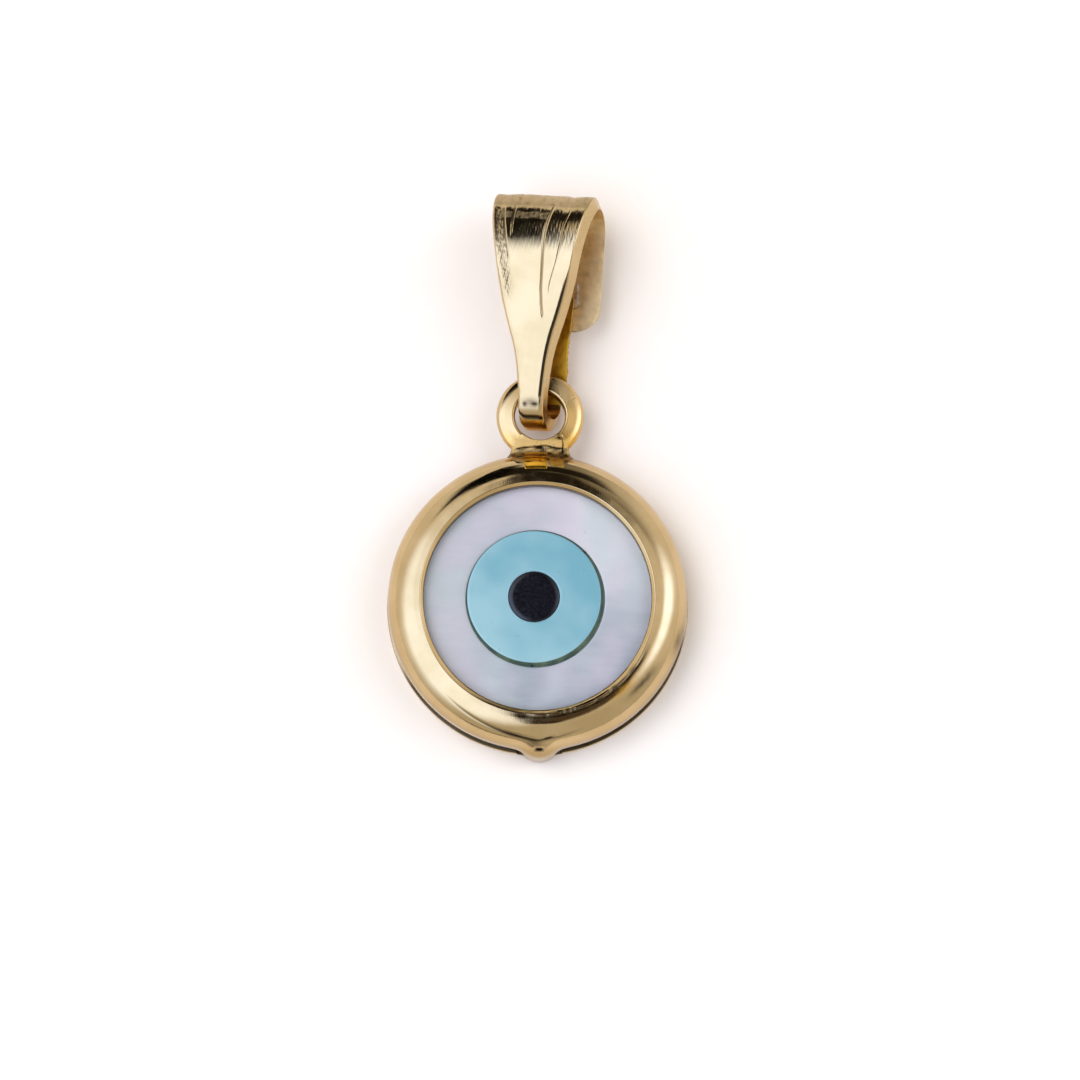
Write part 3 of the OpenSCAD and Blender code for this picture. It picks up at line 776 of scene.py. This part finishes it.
# Marks on the face, as x by height: two grooves and the rope-like band. The top's
# unevenness is by x, and the blots on the foot are strength, x, width, height, length
GROOVE = [
    [4.3, 0.42], [4.6, 0.38], [5.0, 0.32], [5.7, 0.28], [6.5, 0.30], [7.75, 0.31], [8.3, 0.4], [8.8, 0.52],
]
GROOVE_2 = [[4.6, 0.5], [5.0, 0.55], [5.85, 0.63], [6.75, 0.87], [7.4, 0.98], [8.05, 1.05], [8.7, 1.24]]
ROPE = [[4.2, -0.69], [5.4, -1.02], [8.5, -1.68], [9.2, -1.8]]
TOP_STEPS = [
    [-2.2, -0.07], [-1.95, -0.02], [-1.6, -0.045], [-1.45, -0.015], [-1.0, 0.0], [-0.2, -0.01], [0.3, -0.03],
    [0.75, -0.02], [1.05, -0.065], [1.3, -0.045], [1.6, -0.02], [1.9, -0.03], [2.2, -0.06],
]
BLOTS = ((0.85, -0.22, 0.09, 1.04, 0.055), (0.8, 0.2, 0.14, 1.05, 0.055), (0.55, 0.03, 0.36, 1.13, 0.15))
LINE_X = -1.04


def leg_depth(h):
    share = (h - LEG_FOOT) / (LEG_TOP - LEG_FOOT)
    return (FOOT_R + (TOP_R - FOOT_R) * share) * math.cos(LEAN_ANGLE)


def front_half(h):
    return (FOOT_W + (TOP_W - FOOT_W) * eased(TAPER, h / BAIL_L, 0.035)) / 2


def corner_loss(from_end, radius):
    """What a round corner takes off the half width, so far from the strip's end."""
    left = max(radius - from_end, 0)
    return radius - math.sqrt(max(radius**2 - left**2, 0))


def bail_path():
    """Stations [x, h, depth, half width, part] from the wing's end to the tail's end."""
    rows = []
    corner = WING_CORNER * (1 - np.cos(np.radians(np.linspace(2, 90, 14, endpoint=False))))
    straight = np.linspace(WING_H + WING_CORNER, LEG_TOP, 34, endpoint=False)
    for h in np.concatenate([WING_H + corner, straight]):
        half = WING_W / 2 - corner_loss(h - WING_H, WING_CORNER)
        rows.append([WING_SHIFT, h, -leg_depth(h), half, WING])
    for t in np.radians(np.linspace(90, 0, 34, endpoint=False)):
        h = LEG_TOP + (TOP_H - LEG_TOP) * math.cos(t)
        share = 1 - t / (math.pi / 2)
        x = WING_SHIFT + (TOP_SHIFT - WING_SHIFT) * share
        half = WING_W / 2 + (front_half(TOP_H) - WING_W / 2) * share
        rows.append([x, h, -leg_depth(h) * math.sin(t), half, BACK_BEND])
    for t in np.radians(np.linspace(0, 90, 70, endpoint=False)):
        h = BEND_H + (TOP_H - BEND_H) * math.cos(t)
        x = TOP_SHIFT * (1 - ramp(0, 0.6, t / (math.pi / 2)))
        rows.append([x, h, leg_depth(h) * math.sin(t), front_half(h), TOP_BEND])
    for h in np.linspace(BEND_H, LEG_FOOT, 96, endpoint=False):
        rows.append([0, h, leg_depth(h), front_half(h), LEG])
    for share in np.arange(1, 44) / 44:
        a = -LEAN_ANGLE - (math.pi - 2 * LEAN_ANGLE) * share
        x = BACK_SHIFT * ramp(0.1, 0.9, share)
        rows.append([x, FOOT_C + FOOT_R * math.sin(a), FOOT_R * math.cos(a), FOOT_W / 2, FOOT_BEND])
    tail = TAIL_H - np.concatenate([
        np.linspace(TAIL_H - LEG_FOOT, TAIL_CORNER, 46, endpoint=False),
        TAIL_CORNER * (1 - np.cos(np.radians(np.linspace(90, 2, 9)))),
    ])
    depths = [[LEG_FOOT, leg_depth(LEG_FOOT)]] + [[h, leg_depth(h) - TUCK] for h in (TUCK_H, TAIL_H)]
    for h in tail:
        half = (FOOT_W + (TAIL_W - FOOT_W) * min(1, (h - LEG_FOOT) / (TUCK_H - LEG_FOOT))) / 2
        share = (h - LEG_FOOT) / (TAIL_H - LEG_FOOT)
        x = TAIL_SHIFT * float(eased(LEAN, share, 0.06)) + BACK_SHIFT * ramp(0.5, -0.05, share)
        rows.append([x, h, -float(eased(depths, h, 0.15)), half - corner_loss(TAIL_H - h, TAIL_CORNER), TAIL])
    return np.array(rows, float)


def strip_section(half, facet):
    """The strip's section [sideways, across], wide inside the loop and narrower outside.

    Its outer face has a flat facet along each edge, then a narrow bevel and the drafted side."""
    t = STRIP / 2
    wide, wide_left = half - min(0.24, half * 0.22), half - 0.13
    x = np.linspace(wide, -wide_left, FACE_POINTS)
    bevel = min(0.05, facet * 0.6)
    low = 0.22 * (facet - bevel)
    rows = [[0, low + 0.85 * bevel], [bevel, low], [facet, 0], [9, 0]]
    fall = eased(rows, np.minimum(wide - x, x + wide_left), 0.008)
    outer = np.stack([x, t - fall], 1)
    side = [[wide + 0.01, t - fall[0] - 0.014], [wide + 0.028, t - 0.105]]
    for share in np.linspace(0.08, 1, 9):
        side.append([wide + 0.028 + (half - wide - 0.043) * share, t - 0.105 + (0.14 - 2 * t) * share])
    side += [[half - 0.004, -t + 0.02], [half - 0.014, -t + 0.004]]
    inner = [[v, -t] for v in np.linspace(-1, 1, INNER_POINTS) * (half - 0.035)]
    left = [[-wide_left - 0.01, t - fall[-1] - 0.014]]
    left += [[-wide_left - 0.015 - 0.105 * s, t - 0.09 + (0.11 - 2 * t) * s] for s in np.linspace(0, 1, 11)]
    left += [[-half + 0.03, -t + 0.004]]
    return np.array(side[::-1] + outer.tolist() + left + inner)


class Strip:
    """The strip's points as [station, point]: place across it and along the path, and 1 on
    its outer face, its inner side, the face's front and the inner side of the wing."""

    def __init__(self, path):
        facets = 0.05 + 0.12 * ramp(6.6, 5.7, path[:, 1]) * (path[:, 4] >= LEG)
        section = np.stack([
            strip_section(max(half, 0.05), min(facet, half * 0.2)) for half, facet in zip(path[:, 3], facets)
        ])
        self.x, self.across = section[..., 0], section[..., 1]
        self.middle, self.h, self.depth, self.half, self.part = (
            np.broadcast_to(column[:, None], self.x.shape) for column in path.T
        )
        point = np.broadcast_to(np.arange(self.x.shape[1]), self.x.shape)
        self.face = ((point >= SIDE_POINTS) & (point < SIDE_POINTS + FACE_POINTS)) * 1.0
        self.inner = (point >= self.x.shape[1] - INNER_POINTS) * 1.0
        self.sides = (1 - self.face) * (1 - self.inner)
        self.front = ((self.part == TOP_BEND) | (self.part == LEG)) * self.face
        self.wing_inside = self.inner * (self.part <= BACK_BEND)
        self.tail_edge = (self.part == TAIL) * self.sides * (self.x > 0)


def lower_cut(x):
    """Height of the wavy cut across the lower bend."""
    return 0.65 + 0.17 * ramp(-0.22, -0.55, x) - 0.05 * ramp(0.3, 0.5, x)


def worn_stripe(s):
    """The lighter stripe under the top of the bail, parted by a dark line."""
    stripe = ramp(8.27, 8.33, s.h + 0.02 * np.sin(7 * s.x)) * ramp(8.57, 8.51, s.h + 0.015 * np.sin(9 * s.x))
    return s.front * stripe * span(s.x, -1.78, -1.68, 0.3, 0.42) * (1 - bell(s.x, LINE_X, 0.07))


def bail_relief(s):
    """Relief of the outer face, in mm across the strip."""
    x, h = s.x, s.h
    z = 0.0009 * streaks(x, h, 0.13, 0.45, 61) * s.front
    # Two long grooves and the scratched zone between them
    one, two = eased(GROOVE, h, 0.15), eased(GROOVE_2, h, 0.15)
    z -= 0.034 * s.front * bell(x, one, 0.038) * span(h, 4.35, 4.7, 8.6, 8.95)
    z -= 0.016 * s.front * bell(x, two, 0.028) * span(h, 4.9, 6.2, 8.6, 8.95)
    between = s.front * ramp(0.02, 0.12, x - one) * ramp(0.0, 0.1, two - x) * span(h, 5.6, 6.8, 8.6, 8.9)
    z += 0.0008 * between * streaks(x + 0.12 * h, h, 0.06, 0.4, 62)
    # The rope-like rippled band at the left, with a dark line beside its upper part
    rope_x = eased(ROPE, h, 0.4)
    fade = s.front * (0.25 + 0.75 * ramp(5.0, 6.4, h)) * span(h, 3.8, 4.8, 8.5, 8.75)
    knots = 0.012 * streaks(x, h, 0.17, 0.3, 63) + 0.008 * streaks(x, h, 0.1, 0.16, 65) - 0.01
    z += knots * bell(x, rope_x, 0.15) * fade
    z -= 0.02 * bell(x, rope_x + 0.24, 0.03) * fade * ramp(6.2, 7.0, h)
    z -= 0.012 * s.front * bell(x, LINE_X, 0.04) * span(h, 7.5, 7.8, 8.75, 8.85)
    # The wavy cut, a worn ridge under the top, and the uneven edge of the fold
    z -= 0.045 * bell(h, lower_cut(x), 0.045) * (s.part == FOOT_BEND) * s.face
    z += 0.005 * worn_stripe(s)
    bumps = eased(TOP_STEPS, x, 0.05) + 0.006 * streaks(x, h, 0.25, 0.4, 64)
    return z + ramp(8.4, 9.0, h) * s.face * bumps


def bail_paint(s, p):
    """Fields of the strip, each with its value at the middle of the strip's two ends."""
    x, h, wing = s.x, s.h, s.wing_inside
    back, tail, foot = s.part <= BACK_BEND, s.part == TAIL, s.part == FOOT_BEND
    ahead = (s.depth > 0) * foot
    under_cut = ahead * s.face * ramp(0.62, 0.5, h)
    top = s.face * ramp(8.68, 8.85, h)
    stripe = worn_stripe(s)
    rope = s.front * bell(x, eased(ROPE, h, 0.4), 0.15) * span(h, 5.0, 6.4, 8.5, 8.75)
    fleck = above(ripple(p, 0.09, 49), 0.9)

    matte = 0.06 + 0.8 * s.face * ramp(8.68, 8.82, h) + 0.75 * wing + (0.3 + 0.2 * back) * s.sides
    matte += 0.35 * s.face * back + 0.3 * s.tail_edge + 0.5 * tail * (1 - s.sides)
    matte += stripe * (0.55 + 0.15 * ripple(p, 0.2, 48)) + 0.35 * under_cut + 0.45 * rope

    # The warm share paints orange light bounced between gold parts: on the tail in the shade, inside the foot
    # bend, under the cut and on its sides; the wing's inside is warmed too
    warm = tail * (0.95 - 0.45 * s.sides) + 0.6 * foot * s.inner + 0.38 * wing
    warm += 0.85 * under_cut + 0.4 * ahead * s.sides * ramp(1.1, 0.8, h)

    clouds = 0.12 * above(ripple(p, 0.5, 46), 0) + 0.1 * above(ripple(p, 0.45, 53), 0)
    scratches = 0.15 * above(streaks(x + 0.3 * h, h, 0.09, 0.7, 67), 0.6)
    dirt_and_shade = wing * (0.03 + clouds + scratches + 0.12 * fleck)
    dirt_and_shade += top * (0.15 + 0.2 * above(ripple(p, 0.25, 47), 0.4) + 0.3 * fleck)
    # Painted shade: the tail and the inside of the foot bend are darkened, the tail with some mottling
    dirt_and_shade += tail * (0.34 + 0.16 * above(ripple(p, 0.3, 54), 0) - 0.2 * above(ripple(p, 0.12, 55), 0.9))
    dirt_and_shade += 0.25 * s.inner * foot + 0.1 * stripe
    # The dark streaks on the rope-like band are painted dark reflections
    dirt_and_shade += 1.1 * rope * above(2.2 * streaks(x, h, 0.09, 0.35, 66), 0.3)
    # Dark lines: blots on the foot, painted shade in the cut, the stripe's gap and the groove, and a painted
    # dark reflection along the right edge
    blots = sum(a * bell(x, bx, wx) * bell(h, bh, wh) for a, bx, wx, bh, wh in BLOTS)
    dirt_and_shade += s.face * (s.depth > 0) * blots
    dirt_and_shade += ahead * s.face * np.clip(1.7 * bell(h, lower_cut(x), 0.06), 0, 1)
    inward = s.half - np.minimum(0.24, s.half * 0.22) - x
    reach = 0.05 + 0.10 * ramp(6.6, 5.2, h)
    edge = ramp(0.03, 0.05, inward) * ramp(reach + 0.02, reach - 0.01, inward) * span(h, 1.25, 1.4, 6.2, 6.6)
    gap = bell(x, LINE_X, 0.035) * span(h, 8.1, 8.2, 8.66, 8.72)
    groove = bell(x, eased(GROOVE, h, 0.15) - 0.012, 0.02) * span(h, 4.35, 4.8, 8.6, 8.95)
    dirt_and_shade += s.front * (0.95 * edge + 0.95 * gap + 0.75 * groove)

    pale = 0.6 * wing + 0.08 * top
    fields = {"matte": (matte, 0.3), "dirt_and_shade": (dirt_and_shade, 0.0), "warm": (warm, 0.4), "pale": (pale, 0.0)}
    return {key: np.append(value.ravel(), [end, end]) for key, (value, end) in fields.items()}


def place_bail(p):
    """From the bail's own frame [x, h, depth] to where it lies in the eyelet."""
    x, z = turned(p[..., 0], p[..., 2], ROLL)
    x, y = turned(x, p[..., 1] - HANG, -YAW)
    y, z = turned(y, z, PITCH)
    return np.stack([x, y + WIRE_Y, z + REST_Z], -1)


def make_bail():
    path = bail_path()
    run = np.gradient(path[:, 1:3], axis=0)
    run /= np.linalg.norm(run, axis=1)[:, None]
    out_h, out_depth = run[:, 1:2], -run[:, 0:1]
    s = Strip(path)
    z = s.across + bail_relief(s)
    p = np.stack([s.middle + s.x, s.h + out_h * z, s.depth + out_depth * z], -1)
    wave = ripple(p, 2.2, 41) * 0.004 + ripple(p, 0.7, 42) * 0.0008
    wave += s.wing_inside * (ripple(p, 0.9, 43) * 0.007 + ripple(p, 0.25, 44) * 0.0008)
    p[..., 2] += wave * np.sign(out_depth * s.across)
    p[..., 0] += s.tail_edge * ripple(p, 0.16, 45) * 0.022
    world = place_bail(p)
    world[..., 2] = np.maximum(world[..., 2], 0.002)
    stations, n = s.x.shape
    faces = grid_faces(p, False, True)[:, ::-1].tolist()
    ring = np.arange(n)
    for end, row in enumerate((0, stations - 1)):
        pair = [row * n + (ring + 1) % n, row * n + ring]
        faces += [[a, b, stations * n + end] for a, b in zip(*(pair[::-1] if end else pair))]
    points = np.vstack([world.reshape(-1, 3), world[0].mean(0), world[-1].mean(0)])
    return new_mesh("bail_strip", points, faces, [bail_gold], bail_paint(s, p))


def make_solder():
    """Whitish solder between the tail's end and the wing, rough and uneven."""
    h0 = TAIL_H - TAIL_CORNER
    x0, d0 = TAIL_SHIFT + TAIL_W / 2, -float(leg_depth(h0)) + TUCK / 2
    low, high = (x0 - 0.6, h0 - 0.8, d0 - 0.45), (x0 + 0.6, h0 + 1.3, d0 + 0.45)

    def field(p):
        q = p - np.array([x0, h0, d0])
        ball = np.linalg.norm(q + np.array([0.1, 0, 0]), axis=-1) - 0.22
        smear = rounded(np.abs(q - np.array([-0.03, 0.38, -0.04])) - np.array([0.07, 0.42, 0.17]), 0.06)
        return smooth_union(ball, smear, 0.12) + 0.014 * ripple(p, 0.3, 51) + 0.009 * ripple(p, 0.1, 52)

    points, quads = isosurface(field, low, high, 0.03)
    fields = {"matte": np.ones(len(points))}
    return new_mesh("bail_solder", place_bail(points), quads, [solder_metal], fields)


# Node of the CAD model, its slot, and the pieces that replace it
for node, slot, pieces in (
    ("bezel", "bezel_gold", [make_bezel(), make_eyelet()]),
    ("back_plate", "back_gold", [make_back_plate()]),
    ("pearl", "mother_of_pearl", [make_pearl()]),
    ("iris", "turquoise", [make_iris(), make_glue(), make_pits()]),
    ("pupil", "black_stone", [make_pupil()]),
    ("bail", "bail_gold", [make_bail(), make_solder()]),
):
    for piece in pieces:
        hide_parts(node)
        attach(piece, "root")


# Floor, light and camera

def level_sheet(name, x, y, height, material, way):
    """A level sheet, face up where way is -1 and face down where it is 1."""
    x, y = np.meshgrid(x, y, indexing="ij")
    p = np.stack([x, y, 0 * x + height], -1)
    return new_mesh(name, p, grid_faces(p, False, False)[:, ::way], [material])


def make_floor():
    """A pale sheet just under the pendant."""
    line = np.linspace(-700, 700, 41)
    material, g, where = blank_material("pale_sheet")
    colour = g.mix(g.noise(where, 0.8, 3.0), (0.96, 0.85, 0.70), (0.98, 0.87, 0.72))
    g.surface({"Base Color": colour, "Roughness": 0.75, "Specular IOR Level": 0.1})
    floor = level_sheet("floor", line, line, -0.004, material, -1)


def make_world():
    """Soft surroundings, worked out from what the rounded rim reflects: a large light at
    the left, a smaller one at the right and the dark lens overhead."""
    world = bpy.data.worlds.new("tent")
    bpy.context.scene.world = world
    g = Graph(world)
    x, y, z = g.parts(g.add("ShaderNodeTexCoord").outputs["Generated"])

    def away(value, middle):
        return g.math("ABSOLUTE", g.math("SUBTRACT", value, middle))

    def blob(cx, cy, rx, ry, core, slant=0.0):
        """Share of an oval overhead, full inside core and gone at its edge."""
        across = g.math("ADD", g.math("SUBTRACT", x, cx), g.times(g.math("SUBTRACT", y, cy), slant))
        u, v = g.math("DIVIDE", across, rx), g.math("DIVIDE", away(y, cy), ry)
        return g.step(g.math("SQRT", g.math("ADD", g.times(u, u), g.times(v, v))), 1.0, core)

    def box(x0, x1, y0, y1, soft):
        """Share of a rectangle overhead with soft edges."""
        edges = ((x, x0, soft), (x, x1, -soft), (y, y0, soft), (y, y1, -soft))
        return g.times(*(g.step(value, at - half, at + half) for value, at, half in edges))

    bow = g.step(away(g.math("ADD", y, g.times(x, x, 0.35)), 0.77), 0.15, 0.09)
    rim = g.step(away(z, 0), 0.09, 0.05)
    colour = g.mix(g.step(y, -0.5, -0.1), (0.71, 0.69, 0.64), (0.98, 0.97, 0.97))
    for share, tone in (
        # The dimmer side over the bail, then the two lights
        (g.times(box(0.05, 1.2, 0.33, 1.2, 0.08), g.step(x, 0.72, 0.1)), (0.24, 0.23, 0.2)),
        (blob(-0.46, -0.12, 0.56, 0.68, 0.5), (1.72, 2.08, 3.0)),
        (blob(0.62, 0.12, 0.34, 0.4, 0.3, -0.25), (2.1, 2.5, 3.6)),
        # The camera with its arm and lens, and a dark arc past the top of the disc
        (box(-0.065, 0.13, -0.39, 0.64, 0.03), (0.02, 0.016, 0.012)),
        (box(-0.27, 0.03, 0.55, 0.87, 0.05), (0.012, 0.01, 0.008)),
        (blob(0.14, -0.12, 0.19, 0.28, 0.5), (0.1, 0.075, 0.055)),
        (g.times(bow, g.step(away(x, -0.06), 0.5, 0.3)), (0.02, 0.017, 0.012)),
        # A dark edge low at the front, and the room below the horizon
        (g.times(g.step(y, -0.72, -0.85), rim, g.step(x, 0.0, -0.2)), (0.04, 0.03, 0.025)),
        (g.step(z, 0.0, -0.03), (0.5, 0.48, 0.45)),
    ):
        colour = g.mix(share, colour, tone)
    back = g.add("ShaderNodeBackground", {"Color": colour, "Strength": 1.0})
    g.add("ShaderNodeOutputWorld", {"Surface": back.outputs[0]})


def make_flag():
    """A small black card over the bail, out of the camera's sight, that the bail's bend reflects."""
    material, g, where = blank_material("black_card")
    place = g.parts(where)
    share = g.times(g.step(place[1], 13.2 * MM, 18.8 * MM), g.step(place[0], -3.0 * MM, -5.0 * MM))
    clear = g.add("ShaderNodeBsdfTransparent").outputs[0]
    black = g.add("ShaderNodeBsdfDiffuse", {"Color": (0.004, 0.004, 0.004)}).outputs[0]
    card = g.add("ShaderNodeMixShader", {0: share, 1: clear, 2: black}).outputs[0]
    g.add("ShaderNodeOutputMaterial", {"Surface": card})
    flag = level_sheet("flag", np.linspace(-14, -2, 9), np.linspace(12.8, 60, 13), 17, material, 1)
    flag.visible_camera = flag.visible_diffuse = flag.visible_shadow = flag.visible_transmission = False


def make_light():
    """One large soft light from the upper left, which the gold doesn't reflect."""
    data = bpy.data.lights.new("key", "AREA")
    data.shape, data.size, data.energy, data.color = "DISK", 0.2, 0.27, (1.0, 0.95, 0.9)
    light = linked("key", data)
    light.location = (-0.12, 0.07, 0.3)
    light.rotation_mode = "QUATERNION"
    light.rotation_quaternion = (-Vector(light.location)).to_track_quat("-Z", "Y")
    light.visible_camera = light.visible_glossy = False


def make_camera():
    """The photograph's view: 79 degrees above the surface, from the side of the disc."""
    data = bpy.data.cameras.new("camera")
    data.lens, data.sensor_width = 200, 36
    data.clip_start, data.clip_end = 0.005, 10
    camera = linked("camera", data)
    elevation, distance = math.radians(79), 0.24
    aim_x, aim_y = 0.10 * MM, 2.77 * MM
    camera.location = (aim_x, aim_y - distance * math.cos(elevation), distance * math.sin(elevation))
    camera.rotation_euler = (math.pi / 2 - elevation, 0, 0)
    bpy.context.scene.camera = camera


make_floor()
make_world()
make_flag()
make_light()
make_camera()
bpy.context.scene.view_settings.view_transform = "Standard"
